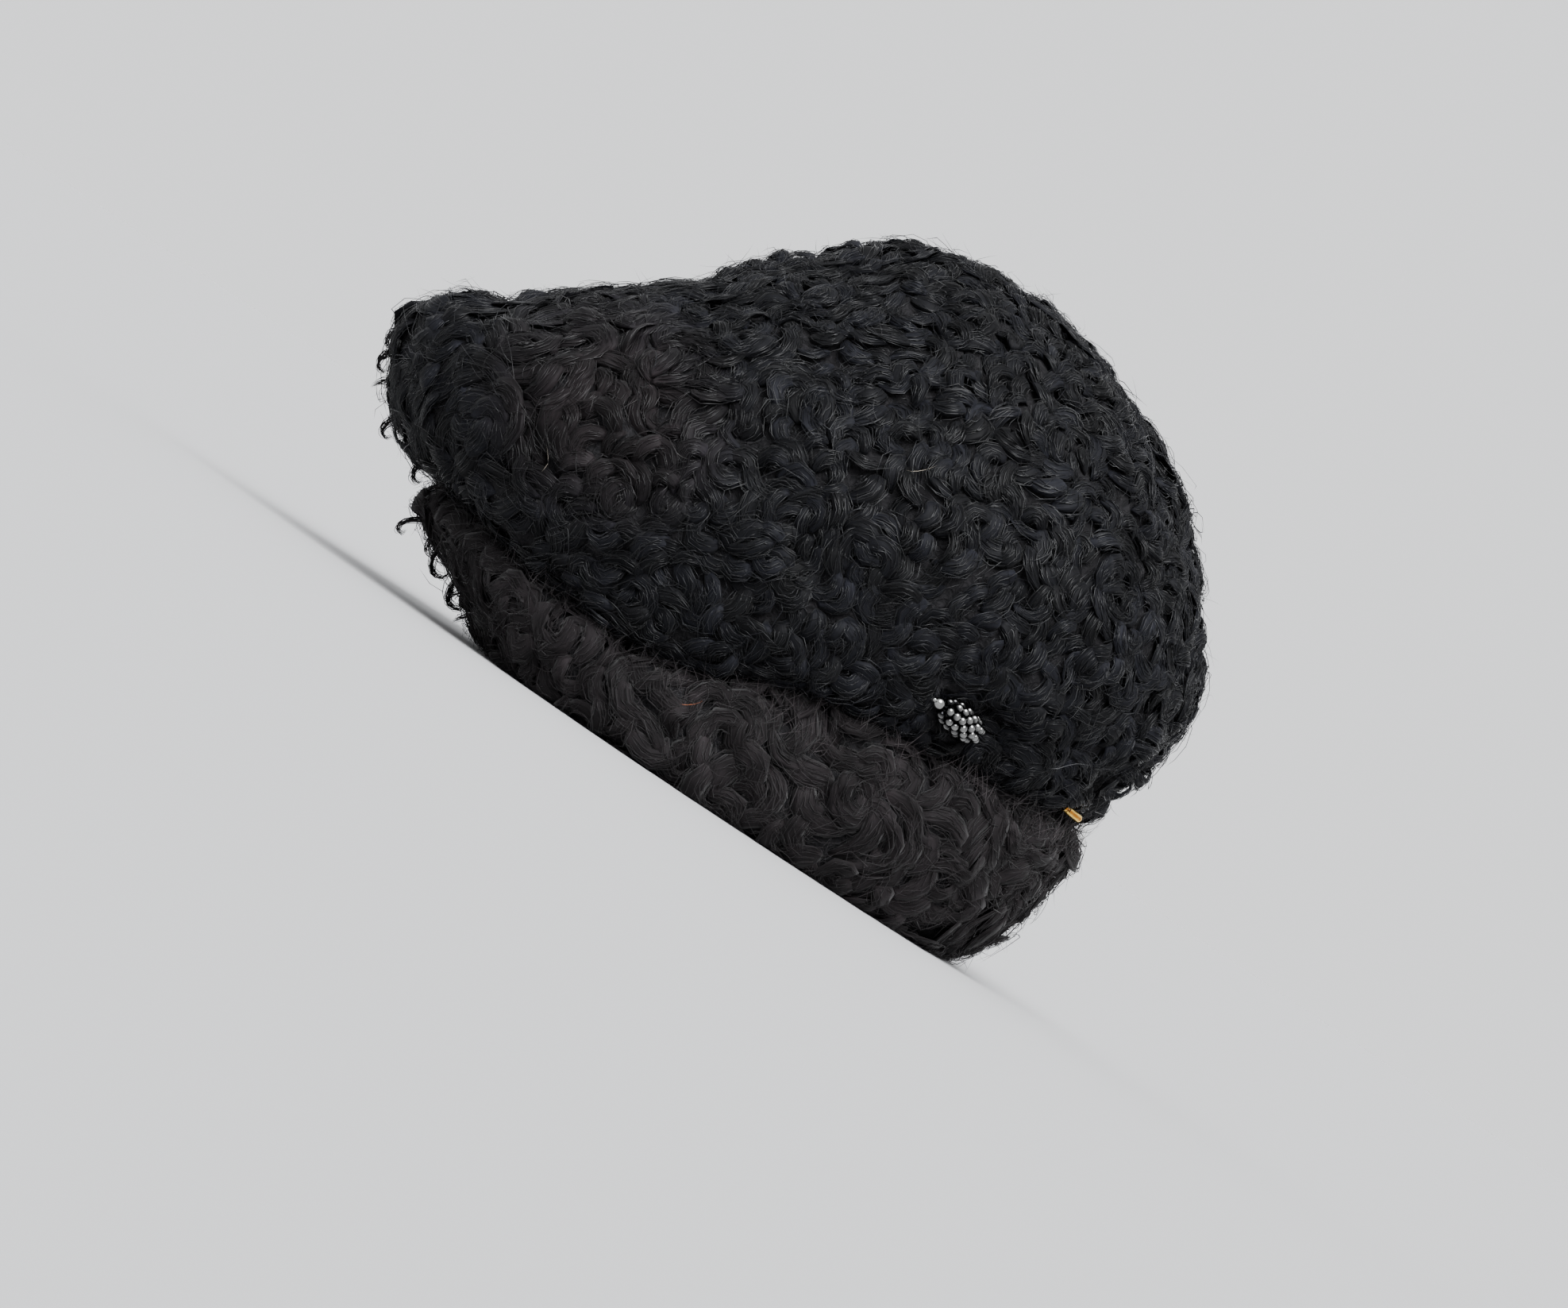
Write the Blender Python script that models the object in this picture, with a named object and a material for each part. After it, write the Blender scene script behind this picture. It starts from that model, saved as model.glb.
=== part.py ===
"""Karakul hat: a full soft crown that is drawn forward over the brow, a turned-up cuff that deepens
towards the nape, and a beaded hat pin with its end clutch.

Metres, +Z up. The hat rests on its cuff: the front faces -Y, the wearer's left side faces +X, and the
origin is in the middle of the footprint on the surface that the hat stands on.
"""

import math
from collections import namedtuple

import bmesh
import bpy
from mathutils import Matrix, Vector, noise

MM = 0.001
SHARP_EDGE = math.radians(50)

# The head opening in plan, inside the crown's lower edge: an egg that is widest a little behind the
# middle.
OPENING_FRONT = -57 * MM
OPENING_BACK = 103 * MM
OPENING_HALF_WIDTH = 82 * MM
OPENING_WIDEST = 16 * MM

# The pelt with its curls is one wall. Curls are lumps of this width that stand this far above the
# grooves between them.
WALL = 8 * MM
CURL_PITCH = 21 * MM
CURL_HEIGHT = 5.5 * MM
CURL_STEEPNESS = 2.2
CURL_MEAN = 0.6
GAP = 0.5 * MM

# Points round each ring. The crown's plain inner side has half as many above its lower edge.
AROUND = 84

# The crown's rings, in millimetres. level is the ring's height where the cuff is CUFF_MEAN_TOP high,
# follow says how much of the cuff's rise and fall the ring keeps, front and back are its ends along Y,
# half its half width, and widest the place along Y where it is widest. curls is its share of the curl
# relief.
Ring = namedtuple("Ring", "level follow front back half widest curls")
CROWN_RINGS = [
    Ring(36, 1.0, -101, 122, 86, 16, 0.0),
    Ring(45, 1.0, -106, 127, 90, 16, 0.1),
    Ring(47.5, 1.0, -122, 134, 98, 17, 0.6),
    Ring(54, 0.8, -133.5, 137, 103, 18, 0.9),
    Ring(61, 0.65, -140.5, 138, 105.5, 18, 1.0),
    Ring(68, 0.5, -145, 138.5, 107.5, 18, 1.0),
    Ring(75, 0.3, -147.5, 140, 108.5, 18, 1.0),
    Ring(82, 0.15, -148.5, 142, 109, 19, 1.0),
    Ring(89, 0.0, -146, 143.5, 109.5, 20, 1.0),
    Ring(96, 0.0, -136.5, 145, 109.5, 21, 1.0),
    Ring(103, 0.0, -120.5, 146, 109, 22, 1.0),
    Ring(110, 0.0, -114.5, 146, 107.5, 24, 1.0),
    Ring(117, 0.0, -107, 145, 105.5, 25, 1.0),
    Ring(124, 0.0, -98.5, 142, 102.5, 26, 1.0),
    Ring(131.5, 0.0, -88.5, 138.5, 99.5, 28, 1.0),
    Ring(139, 0.0, -77.5, 134, 95, 29, 1.0),
    Ring(146.5, 0.0, -70, 129, 90.5, 30, 1.0),
    Ring(154, 0.0, -65, 123, 85.5, 30, 1.0),
    Ring(161.5, 0.0, -58.5, 116, 79.5, 30, 1.0),
    Ring(169, 0.0, -49, 109, 73, 30, 1.0),
    Ring(176, 0.0, -39.5, 100, 66, 30, 1.0),
    Ring(183, 0.0, -34, 88, 57, 29, 1.0),
    Ring(189.5, 0.0, -27, 75, 47, 28, 0.9),
    Ring(195, 0.0, -17.5, 61, 37, 27, 0.7),
    Ring(199.5, 0.0, -5, 48, 25, 26, 0.5),
    Ring(202, 0.0, 9, 37, 12, 25, 0.3),
]
CROWN_TOP = Vector((0, 24, 203)) * MM

# The rows of CROWN_RINGS that the inner side follows. It passes by the shelf over the cuff.
INNER_ROWS = [0, 5, 8, 11, 14, 17, 20, 22]

# The cuff's lower and upper edge, in millimetres, by the place along Y of the crown's lower edge. It
# lifts over the brow, is low along the temples and steps up behind the ears.
CUFF_MEAN_TOP = 42
Edge = namedtuple("Edge", "along bottom top")
CUFF_EDGES = [
    Edge(-65, 5, 38),
    Edge(-54, 2, 36.5),
    Edge(-43, 0, 33),
    Edge(-12, 0, 28),
    Edge(3, 0, 32),
    Edge(17, 0, 41),
    Edge(36, 0, 49.5),
    Edge(60, 0, 53),
    Edge(90, 0, 57),
    Edge(111, 0, 60),
]

# How far the cuff stands out from the crown's band, the height of the foot that the crown stands on,
# and how its inner side opens below its upper edge.
CUFF_THICKNESS_FRONT = 10.5 * MM
CUFF_THICKNESS_SIDE = 14 * MM
CUFF_THICKNESS_BACK = 20 * MM
CUFF_FOOT = 6.5 * MM
CUFF_INNER_ROUND = 2 * MM
CUFF_LIP = 4 * MM
CUFF_LIP_DROP = 1.2 * MM
CUFF_LIP_DEPTH = (CUFF_MEAN_TOP - CROWN_RINGS[0].level) * MM

# The cuff's outer side: across is a share of its thickness, up a share of its height, and curls its
# share of the curl relief.
Corner = namedtuple("Corner", "across up curls")
CUFF_SECTION = [
    Corner(0.4, 0.0, 0.0),
    Corner(0.76, 0.07, 0.2),
    Corner(0.96, 0.24, 0.7),
    Corner(1.04, 0.44, 0.9),
    Corner(1.04, 0.64, 0.9),
    Corner(0.95, 0.83, 0.7),
    Corner(0.76, 0.95, 0.3),
    Corner(0.52, 1.0, 0.0),
]

# The hat pin is a straight line through the wall, low on the wearer's left, from the middle of the
# ball at its head to the middle of its clutch. The fur gives way under its head.
PIN_HEAD = Vector((100.5, 72, 71)) * MM
CLUTCH_MIDDLE = Vector((33, 131, 65.5)) * MM
PIN_DIRECTION = (CLUTCH_MIDDLE - PIN_HEAD).normalized()
SHANK_RADIUS = 0.5 * MM
SHANK_POINT = 2 * MM
SHANK_ROOM = 0.45 * MM
PIN_ROOM = 0.35 * MM
PRESS_DEPTH = 3 * MM
PRESS_FULL = 5 * MM
PRESS_NONE = 18 * MM

# Its head is one soldered piece: a cap ball, a big ball and an oval bunch of small balls on a core.
BIG_BALL_RADIUS = 2.1 * MM
CAP_BALL_RADIUS = 1.1 * MM
CAP_BALL_PLACE = -2.7 * MM
SMALL_BALL_RADIUS = 1.6 * MM
BALL_SIDES = 10
BALL_RINGS = 5
BUNCH_START = 4.6 * MM
BUNCH_ROWS = 8
BUNCH_PITCH = 2.85 * MM
BUNCH_RADIUS = 4.3 * MM
BUNCH_COLUMNS = 8
BUNCH_END = BUNCH_START + (BUNCH_ROWS - 1) * BUNCH_PITCH + SMALL_BALL_RADIUS
CORE_RADIUS = 3.9 * MM
CORE_STEPS = 6

# How full the oval is towards its ends: 1 is a lens and 0 a cylinder.
OVAL_TAPER = 0.38

# The clutch is a closed tube on the pin's point.
CLUTCH_RADIUS = 1.45 * MM
CLUTCH_LENGTH = 11 * MM
CLUTCH_CORNER = 0.55 * MM
CLUTCH_SIDES = 16
CLUTCH_START = (CLUTCH_MIDDLE - PIN_HEAD).length - CLUTCH_LENGTH / 2
CLUTCH_END = CLUTCH_START + CLUTCH_LENGTH
PIN_END = CLUTCH_END - 3 * MM


def clear_scene():
    for obj in list(bpy.data.objects):
        bpy.data.objects.remove(obj, do_unlink=True)


def material(name, colour, roughness, metallic=0.0):
    made = bpy.data.materials.new(name)
    made.use_nodes = True
    shader = made.node_tree.nodes["Principled BSDF"]
    shader.inputs["Base Color"].default_value = (*colour, 1)
    shader.inputs["Roughness"].default_value = roughness
    shader.inputs["Metallic"].default_value = metallic
    return made


def node(name, bm, look):
    """One named object from a bmesh, smooth except at real edges, with its faces pointing out."""
    bmesh.ops.recalc_face_normals(bm, faces=bm.faces[:])
    if bm.calc_volume(signed=True) < 0:
        bmesh.ops.reverse_faces(bm, faces=bm.faces[:])
    mesh = bpy.data.meshes.new(name)
    bm.to_mesh(mesh)
    bm.free()
    mesh.materials.append(look)
    mesh.shade_smooth()
    mesh.set_sharp_from_angle(angle=SHARP_EDGE)
    obj = bpy.data.objects.new(name, mesh)
    bpy.context.scene.collection.objects.link(obj)
    return obj


def add_ring(bm, places):
    return [bm.verts.new(place) for place in places]


def skin(bm, rings):
    """Four-sided faces between each ring of vertices and the next."""
    for lower, upper in zip(rings, rings[1:]):
        for n in range(len(lower)):
            bm.faces.new((lower[n - 1], lower[n], upper[n], upper[n - 1]))


def close_end(bm, ring, place):
    """Fans a ring to one point."""
    point = bm.verts.new(place)
    for n in range(len(ring)):
        bm.faces.new((ring[n - 1], ring[n], point))


def eased(share):
    """Runs from 0 to 1 with a soft start and end."""
    share = min(1.0, max(0.0, share))
    return share * share * (3 - 2 * share)


def turns():
    return [2 * math.pi * n / AROUND for n in range(AROUND)]


def egg(angle, front, back, half, widest):
    """A point of an egg-shaped ring in plan. Angle 0 is the back and a quarter turn the wearer's left."""
    reach = back - widest if math.cos(angle) > 0 else widest - front
    return Vector((half * math.sin(angle), widest + reach * math.cos(angle), 0))


def row_in_plan(angle, row):
    return egg(angle, row.front, row.back, row.half, row.widest) * MM


def opening_in_plan(angle):
    """The outer side of the crown's lower edge."""
    front = OPENING_FRONT - WALL
    back = OPENING_BACK + WALL
    return egg(angle, front, back, OPENING_HALF_WIDTH + WALL, OPENING_WIDEST)


def edges_at(angle):
    """The heights of the cuff's lower and upper edge on this side of the hat."""
    along = opening_in_plan(angle).y / MM
    for before, after in zip(CUFF_EDGES, CUFF_EDGES[1:]):
        if along <= after.along:
            break
    share = eased((along - before.along) / (after.along - before.along))
    bottom = before.bottom + (after.bottom - before.bottom) * share
    top = before.top + (after.top - before.top) * share
    return bottom * MM, top * MM


def band_at(angle, height):
    """The outer side of the crown's lower band at this height, between its foot and its first ring."""
    bottom, top = edges_at(angle)
    foot = bottom + CUFF_FOOT + GAP
    end = top + (CROWN_RINGS[0].level - CUFF_MEAN_TOP) * MM
    share = min(1.0, max(0.0, (height - foot) / (end - foot)))
    place = opening_in_plan(angle).lerp(row_in_plan(angle, CROWN_RINGS[0]), share)
    place.z = height
    return place


def press_share(place):
    """How much of the way the fur gives in to the pin's head here: 1 under it, 0 well away from it."""
    reach = place - PIN_HEAD
    along = reach.dot(PIN_DIRECTION)
    beyond = max(-along, along - BUNCH_END, 0.0)
    aside = abs(reach.z - along * PIN_DIRECTION.z)
    return eased(1 - beyond / PRESS_NONE) * eased((PRESS_NONE - aside) / (PRESS_NONE - PRESS_FULL))


def pressed(place):
    """Where the crown's mean surface lies once the pin's head has pressed it in."""
    outward = PIN_DIRECTION.cross(Vector((0, 0, 1))).normalized()
    depth = max(0.0, (place - PIN_HEAD).dot(outward) + PRESS_DEPTH)
    return place - outward * depth * press_share(place)


def crown_ring(row):
    made = []
    for angle in turns():
        place = row_in_plan(angle, row)
        rise = edges_at(angle)[1] - CUFF_MEAN_TOP * MM
        place.z = row.level * MM + row.follow * rise
        made.append(pressed(place))
    return made


def curl_relief(place):
    """How far the fur stands out here: round-topped curls with grooves where two of them meet."""
    nearest, second = noise.voronoi(place / CURL_PITCH)[0][:2]
    groove = min(1.0, CURL_STEEPNESS * (second - nearest))
    return CURL_HEIGHT * (math.sqrt(groove) - CURL_MEAN) * (1 - press_share(place))


def outward_of(rings):
    """The outward direction at each point of a stack of rings, bottom to top."""
    made = []
    for level, ring in enumerate(rings):
        above = rings[min(level + 1, len(rings) - 1)]
        below = rings[max(level - 1, 0)]
        row = []
        for n in range(AROUND):
            around = ring[(n + 1) % AROUND] - ring[n - 1]
            row.append((above[n] - below[n]).cross(around).normalized())
        made.append(row)
    return made


def make_crown(look):
    """A hollow wall of pelt: its outer side carries the curls, its inner side is plain."""
    foot = [band_at(angle, edges_at(angle)[0] + CUFF_FOOT + GAP) for angle in turns()]
    rings = [foot] + [crown_ring(row) for row in CROWN_RINGS]
    shares = [0.0] + [row.curls for row in CROWN_RINGS]
    outward = outward_of(rings)

    bm = bmesh.new()
    outer = []
    for ring, directions, share in zip(rings, outward, shares):
        places = [p + d * share * curl_relief(p) for p, d in zip(ring, directions)]
        outer.append(add_ring(bm, places))
    skin(bm, outer)
    close_end(bm, outer[-1], CROWN_TOP)

    inner = []
    for n in [0] + [row + 1 for row in INNER_ROWS]:
        inner.append([p - d * WALL for p, d in zip(rings[n], outward[n])])
    for place, outside in zip(inner[0], foot):
        place.z = outside.z
    lower_edge = add_ring(bm, inner[0])
    skin(bm, [outer[0], lower_edge])
    inner = [add_ring(bm, places[::2]) for places in inner[1:]]
    skin(bm, inner)
    close_end(bm, inner[-1], CROWN_TOP - Vector((0, 0, WALL)))
    for n in range(AROUND // 2):
        low = lower_edge[2 * n - 2], lower_edge[2 * n - 1], lower_edge[2 * n]
        bm.faces.new((low[0], low[1], inner[0][n - 1]))
        bm.faces.new((low[1], low[2], inner[0][n], inner[0][n - 1]))
    return node("crown", bm, look)


def cuff_thickness(angle):
    """Thinnest in front, thickest at the nape."""
    forward = max(0.0, -math.cos(angle)) ** 2
    backward = max(0.0, math.cos(angle)) ** 2
    side = CUFF_THICKNESS_SIDE * (1 - forward - backward)
    return side + CUFF_THICKNESS_FRONT * forward + CUFF_THICKNESS_BACK * backward


def cuff_section(angle):
    """One section of the cuff: a foot under the crown's band, then the roll that stands up outside it."""
    low = opening_in_plan(angle)
    outward = Vector((low.x, low.y - OPENING_WIDEST, 0)).normalized()
    bottom, top = edges_at(angle)
    thickness = cuff_thickness(angle)

    def at(distance, height):
        return band_at(angle, height) + outward * distance

    places = [at(thickness * c.across, bottom + (top - bottom) * c.up) for c in CUFF_SECTION]
    foot = bottom + CUFF_FOOT
    places += [at(CUFF_LIP, top - CUFF_LIP_DROP), at(GAP, top - CUFF_LIP_DEPTH)]
    places += [at(GAP, foot), at(-WALL, foot)]
    places += [at(-WALL, bottom + CUFF_INNER_ROUND), at(CUFF_INNER_ROUND - WALL, bottom)]
    return places


def make_cuff(look):
    """The turned-up cuff, one closed roll that goes right round and is flat where it rests."""
    rings = list(zip(*(cuff_section(angle) for angle in turns())))
    outside = rings[: len(CUFF_SECTION)]
    curled = []
    for ring, directions, corner in zip(outside, outward_of(outside), CUFF_SECTION):
        curled.append([p + d * corner.curls * curl_relief(p) for p, d in zip(ring, directions)])
    bm = bmesh.new()
    rings = [add_ring(bm, ring) for ring in curled + rings[len(CUFF_SECTION) :]]
    skin(bm, rings + rings[:1])
    return node("cuff", bm, look)


def place_on_pin(obj):
    """Turns a shape that runs along +Z into the pin's place and direction."""
    turned = PIN_DIRECTION.to_track_quat("Z", "Y").to_matrix().to_4x4()
    obj.matrix_world = Matrix.Translation(PIN_HEAD) @ turned


def turned_profile(bm, profile, sides):
    """A closed solid turned about Z from (radius, height) pairs that start and end on the axis."""
    angles = [2 * math.pi * n / sides for n in range(sides)]
    rings = []
    for radius, height in profile[1:-1]:
        places = [(radius * math.cos(a), radius * math.sin(a), height) for a in angles]
        rings.append(add_ring(bm, places))
    skin(bm, rings)
    close_end(bm, rings[0], (0, 0, profile[0][1]))
    close_end(bm, rings[-1], (0, 0, profile[-1][1]))


def add_ball(bm, place, radius):
    bmesh.ops.create_uvsphere(
        bm,
        u_segments=BALL_SIDES,
        v_segments=BALL_RINGS,
        radius=radius,
        matrix=Matrix.Translation(place),
    )


def add_bunch(bm):
    """The small balls in staggered rows round an oval core."""
    start = BUNCH_START - SMALL_BALL_RADIUS
    profile = []
    for step in range(CORE_STEPS + 1):
        share = step / CORE_STEPS
        swell = max(0.0, math.sin(math.pi * share)) ** OVAL_TAPER
        profile.append((CORE_RADIUS * swell, start + (BUNCH_END - start) * share))
    turned_profile(bm, profile, BALL_SIDES)
    for row in range(BUNCH_ROWS):
        share = (row + 0.5) / BUNCH_ROWS
        radius = BUNCH_RADIUS * math.sin(math.pi * share) ** OVAL_TAPER
        height = BUNCH_START + row * BUNCH_PITCH
        for column in range(row % 2, BUNCH_COLUMNS, 2):
            angle = 2 * math.pi * column / BUNCH_COLUMNS
            add_ball(bm, (radius * math.cos(angle), radius * math.sin(angle), height), SMALL_BALL_RADIUS)


def combine(target, tool, operation):
    """A Boolean that stays on its object; the tool is a hidden guide."""
    tool.hide_render = True
    tool.display_type = "WIRE"
    modifier = target.modifiers.new(tool.name, "BOOLEAN")
    modifier.operation = operation
    modifier.solver = "EXACT"
    modifier.use_self = operation == "UNION"
    modifier.object = tool


def make_hat_pin(look):
    """A pointed steel shank with its soldered head."""
    shank = bmesh.new()
    point = PIN_END - SHANK_POINT
    profile = [(0, BUNCH_START), (SHANK_RADIUS, BUNCH_START), (SHANK_RADIUS, point), (0, PIN_END)]
    turned_profile(shank, profile, BALL_SIDES)
    pin = node("hat_pin", shank, look)

    head = bmesh.new()
    add_ball(head, (0, 0, CAP_BALL_PLACE), CAP_BALL_RADIUS)
    add_ball(head, (0, 0, 0), BIG_BALL_RADIUS)
    neck = [(0, 0), (CAP_BALL_RADIUS, 0), (CAP_BALL_RADIUS, BUNCH_START), (0, BUNCH_START)]
    turned_profile(head, neck, BALL_SIDES)
    add_bunch(head)
    guide = node("hat_pin_head_guide", head, look)
    combine(pin, guide, "UNION")
    place_on_pin(pin)
    place_on_pin(guide)


def make_clutch(look):
    """The gilt tube that closes the pin's point, with a flat mouth and a rounded end."""
    bore = SHANK_RADIUS + PIN_ROOM
    profile = [
        (0, PIN_END + GAP),
        (bore, PIN_END + GAP),
        (bore, CLUTCH_START),
        (CLUTCH_RADIUS - CLUTCH_CORNER / 2, CLUTCH_START),
        (CLUTCH_RADIUS, CLUTCH_START + CLUTCH_CORNER),
        (CLUTCH_RADIUS, CLUTCH_END - 2 * CLUTCH_CORNER),
        (CLUTCH_RADIUS - CLUTCH_CORNER, CLUTCH_END - CLUTCH_CORNER / 3),
        (0, CLUTCH_END),
    ]
    tube = bmesh.new()
    turned_profile(tube, profile, CLUTCH_SIDES)
    place_on_pin(node("pin_clutch", tube, look))


def make_pin_way(look):
    """The way that the pin has pressed through curls and wall, as a guide for a cut."""
    head = BUNCH_RADIUS + SMALL_BALL_RADIUS + PIN_ROOM
    shank = SHANK_RADIUS + SHANK_ROOM
    clutch = CLUTCH_RADIUS + PIN_ROOM
    front = CAP_BALL_PLACE - CAP_BALL_RADIUS - PIN_ROOM
    profile = [
        (0, front),
        (BIG_BALL_RADIUS + PIN_ROOM, front),
        (head, BUNCH_START),
        (head, BUNCH_END - SMALL_BALL_RADIUS),
        (head / 2, BUNCH_END + PIN_ROOM),
        (shank, BUNCH_END + 2 * PIN_ROOM),
        (shank, CLUTCH_START - PIN_ROOM),
        (clutch, CLUTCH_START - PIN_ROOM),
        (clutch, CLUTCH_END + CLUTCH_LENGTH),
        (0, CLUTCH_END + CLUTCH_LENGTH),
    ]
    way = bmesh.new()
    turned_profile(way, profile, CLUTCH_SIDES)
    guide = node("pin_way_guide", way, look)
    place_on_pin(guide)
    return guide


def main():
    clear_scene()
    fur = material("karakul_black", (0.016, 0.015, 0.018), 0.5)
    worn_fur = material("karakul_worn", (0.024, 0.018, 0.019), 0.6)
    silver = material("silver_metal", (0.75, 0.75, 0.73), 0.2, 1.0)
    gilt = material("gilt_metal", (0.85, 0.52, 0.16), 0.3, 1.0)
    crown = make_crown(fur)
    make_cuff(worn_fur)
    make_hat_pin(silver)
    make_clutch(gilt)
    combine(crown, make_pin_way(silver), "DIFFERENCE")


main()
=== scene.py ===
"""The looks of a karakul hat: a soft crown and a turned-up cuff of black lamb pelt in tight curls,
with a silver ball pin and its gilt clutch.

Metres, +Z up. The front faces -Y and the wearer's left side, where the pin is, faces +X.
"""

import math
from collections import namedtuple

import bmesh
import bpy
import numpy as np
from mathutils import Matrix, Quaternion, Vector, noise
from mathutils.bvhtree import BVHTree
from mathutils.interpolate import poly_3d_calc


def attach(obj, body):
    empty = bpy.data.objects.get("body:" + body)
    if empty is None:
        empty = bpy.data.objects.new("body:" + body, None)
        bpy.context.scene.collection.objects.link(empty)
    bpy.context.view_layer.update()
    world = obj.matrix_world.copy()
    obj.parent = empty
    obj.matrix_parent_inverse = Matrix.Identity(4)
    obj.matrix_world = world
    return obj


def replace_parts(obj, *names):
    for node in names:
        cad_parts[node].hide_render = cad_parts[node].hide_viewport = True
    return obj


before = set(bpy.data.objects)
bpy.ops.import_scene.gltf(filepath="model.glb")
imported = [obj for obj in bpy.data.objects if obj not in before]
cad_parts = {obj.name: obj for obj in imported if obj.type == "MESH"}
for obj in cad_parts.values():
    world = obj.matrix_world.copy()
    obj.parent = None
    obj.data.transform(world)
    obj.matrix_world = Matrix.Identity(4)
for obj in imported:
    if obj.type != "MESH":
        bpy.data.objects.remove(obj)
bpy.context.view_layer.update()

# ---- Crown: the skin ---------------------------------------------------------------------------
# The crown is one bag of tanned lamb skin, dyed black right through, with the wool side out. This
# is the skin with the flat underwool on it; the curls stand on it and hide nearly all of it.
MM = 0.001
HAT_MIDDLE = Vector((0, 16, 90)) * MM
UNDERWOOL_DEPTH = 1.5 * MM
UNDERWOOL_DYE = (0.004, 0.004, 0.0044), (0.012, 0.0113, 0.0124)
SUEDE_DYE = (0.016, 0.015, 0.016), (0.034, 0.031, 0.031)
CAD_WELD = 0.02 * MM
SKIN_OUTSIDE, SKIN_INSIDE = 0, 1


def new_object(name, mesh):
    """A finished piece, which rides on the hat's one body."""
    obj = bpy.data.objects.new(name, mesh)
    bpy.context.scene.collection.objects.link(obj)
    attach(obj, "root")
    return obj


def new_material(name):
    made = bpy.data.materials.new(name)
    made.use_nodes = True
    nodes, links = made.node_tree.nodes, made.node_tree.links
    return made, nodes, links, nodes["Principled BSDF"]


def add_bump(nodes, links, shader, height, strength, distance):
    bump = nodes.new("ShaderNodeBump")
    bump.inputs["Strength"].default_value = strength
    bump.inputs["Distance"].default_value = distance
    links.new(height, bump.inputs["Height"])
    links.new(bump.outputs["Normal"], shader.inputs["Normal"])


def add_noise(nodes, links, place, scale, detail, distortion=0.0):
    made = nodes.new("ShaderNodeTexNoise")
    made.inputs["Scale"].default_value = scale
    made.inputs["Detail"].default_value = detail
    made.inputs["Distortion"].default_value = distortion
    links.new(place, made.inputs["Vector"])
    return made.outputs["Fac"]


def add_ramp(nodes, links, value, dark, light, start=0.3, end=0.7):
    ramp = nodes.new("ShaderNodeValToRGB")
    low, high = ramp.color_ramp.elements
    low.position, low.color = start, (*dark, 1)
    high.position, high.color = end, (*light, 1)
    links.new(value, ramp.inputs["Fac"])
    return ramp.outputs["Color"]


def wool_ground():
    """Short matted underwool, nearly black between the curls."""
    made, nodes, links, shader = new_material("underwool")
    place = nodes.new("ShaderNodeTexCoord").outputs["Object"]
    grain = add_noise(nodes, links, place, scale=260, detail=6, distortion=2.5)
    links.new(add_ramp(nodes, links, grain, *UNDERWOOL_DYE), shader.inputs["Base Color"])
    shader.inputs["Roughness"].default_value = 0.9
    shader.inputs["Specular IOR Level"].default_value = 0.1
    add_bump(nodes, links, shader, grain, strength=1.0, distance=1.5 * MM)
    return made


def skin_side():
    """The napped inner side of the skin, dyed black, a little greyer where it has rubbed."""
    made, nodes, links, shader = new_material("skin_side")
    place = nodes.new("ShaderNodeTexCoord").outputs["Object"]
    nap = add_noise(nodes, links, place, scale=1400, detail=5)
    rubbed = add_noise(nodes, links, place, scale=22, detail=3)
    links.new(add_ramp(nodes, links, rubbed, *SUEDE_DYE), shader.inputs["Base Color"])
    shader.inputs["Roughness"].default_value = 0.95
    shader.inputs["Specular IOR Level"].default_value = 0.2
    shader.inputs["Sheen Weight"].default_value = 0.2
    add_bump(nodes, links, shader, nap, strength=0.35, distance=0.3 * MM)
    return made


underwool = wool_ground()
suede = skin_side()


def merged_copy(node):
    bm = bmesh.new()
    bm.from_mesh(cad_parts[node].data)
    bmesh.ops.remove_doubles(bm, verts=bm.verts, dist=CAD_WELD)
    return bm


def skin_piece(name, node, is_outside, depth):
    """The solid's own form with its wool side sunk by the height of the underwool."""
    bm = merged_copy(node)
    bm.normal_update()
    for face in bm.faces:
        face.smooth = True
        face.material_index = SKIN_OUTSIDE if is_outside(face) else SKIN_INSIDE
    for vert in bm.verts:
        if all(face.material_index == SKIN_OUTSIDE for face in vert.link_faces):
            vert.co -= vert.normal * depth
    mesh = bpy.data.meshes.new(name)
    bm.to_mesh(mesh)
    bm.free()
    mesh.materials.append(underwool)
    mesh.materials.append(suede)
    return new_object(name, mesh)


def crown_is_outside(face):
    return face.normal.dot(face.calc_center_median() - HAT_MIDDLE) > 0


crown_skin = skin_piece("crown_skin", "crown", crown_is_outside, UNDERWOOL_DEPTH)
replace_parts(crown_skin, "crown")

# ---- Crown: the curls --------------------------------------------------------------------------
# The wool lies in short flat locks. Each one leaves the skin, arches over and turns its tip in like
# a comma. Locks side by side turn the same way, so they make small waves with dark hollows between.
Wool = namedtuple("Wool", "points outs areas tree corners")
random = np.random.default_rng(41)


def wool_of(node, is_outside):
    """The outer side of a solid as the ground that locks grow on."""
    bm = merged_copy(node)
    bm.normal_update()
    points = [v.co.copy() for v in bm.verts]
    outs = [v.normal.copy() for v in bm.verts]
    ground = [f for f in bm.faces if is_outside(f)]
    corners = [tuple(v.index for v in f.verts) for f in ground]
    areas = np.array([f.calc_area() for f in ground])
    bm.free()
    return Wool(points, outs, areas, BVHTree.FromPolygons(points, corners), corners)


def blended(vectors, corners, shares):
    """The vectors at a face's corners, mixed by the shares of the corners."""
    return sum((vectors[c] * share for c, share in zip(corners, shares)), Vector())


def on_wool(wool, place):
    """The nearest point of the ground and the direction that points out there."""
    spot, _, index, _ = wool.tree.find_nearest(place)
    corners = wool.corners[index]
    shares = poly_3d_calc([wool.points[c] for c in corners], spot)
    return spot, blended(wool.outs, corners, shares).normalized()


# The places that are tried before the ground counts as full of roots, and the least length that
# a direction is divided by.
CANDIDATES = 60000
SHORTEST = 1e-12


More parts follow.
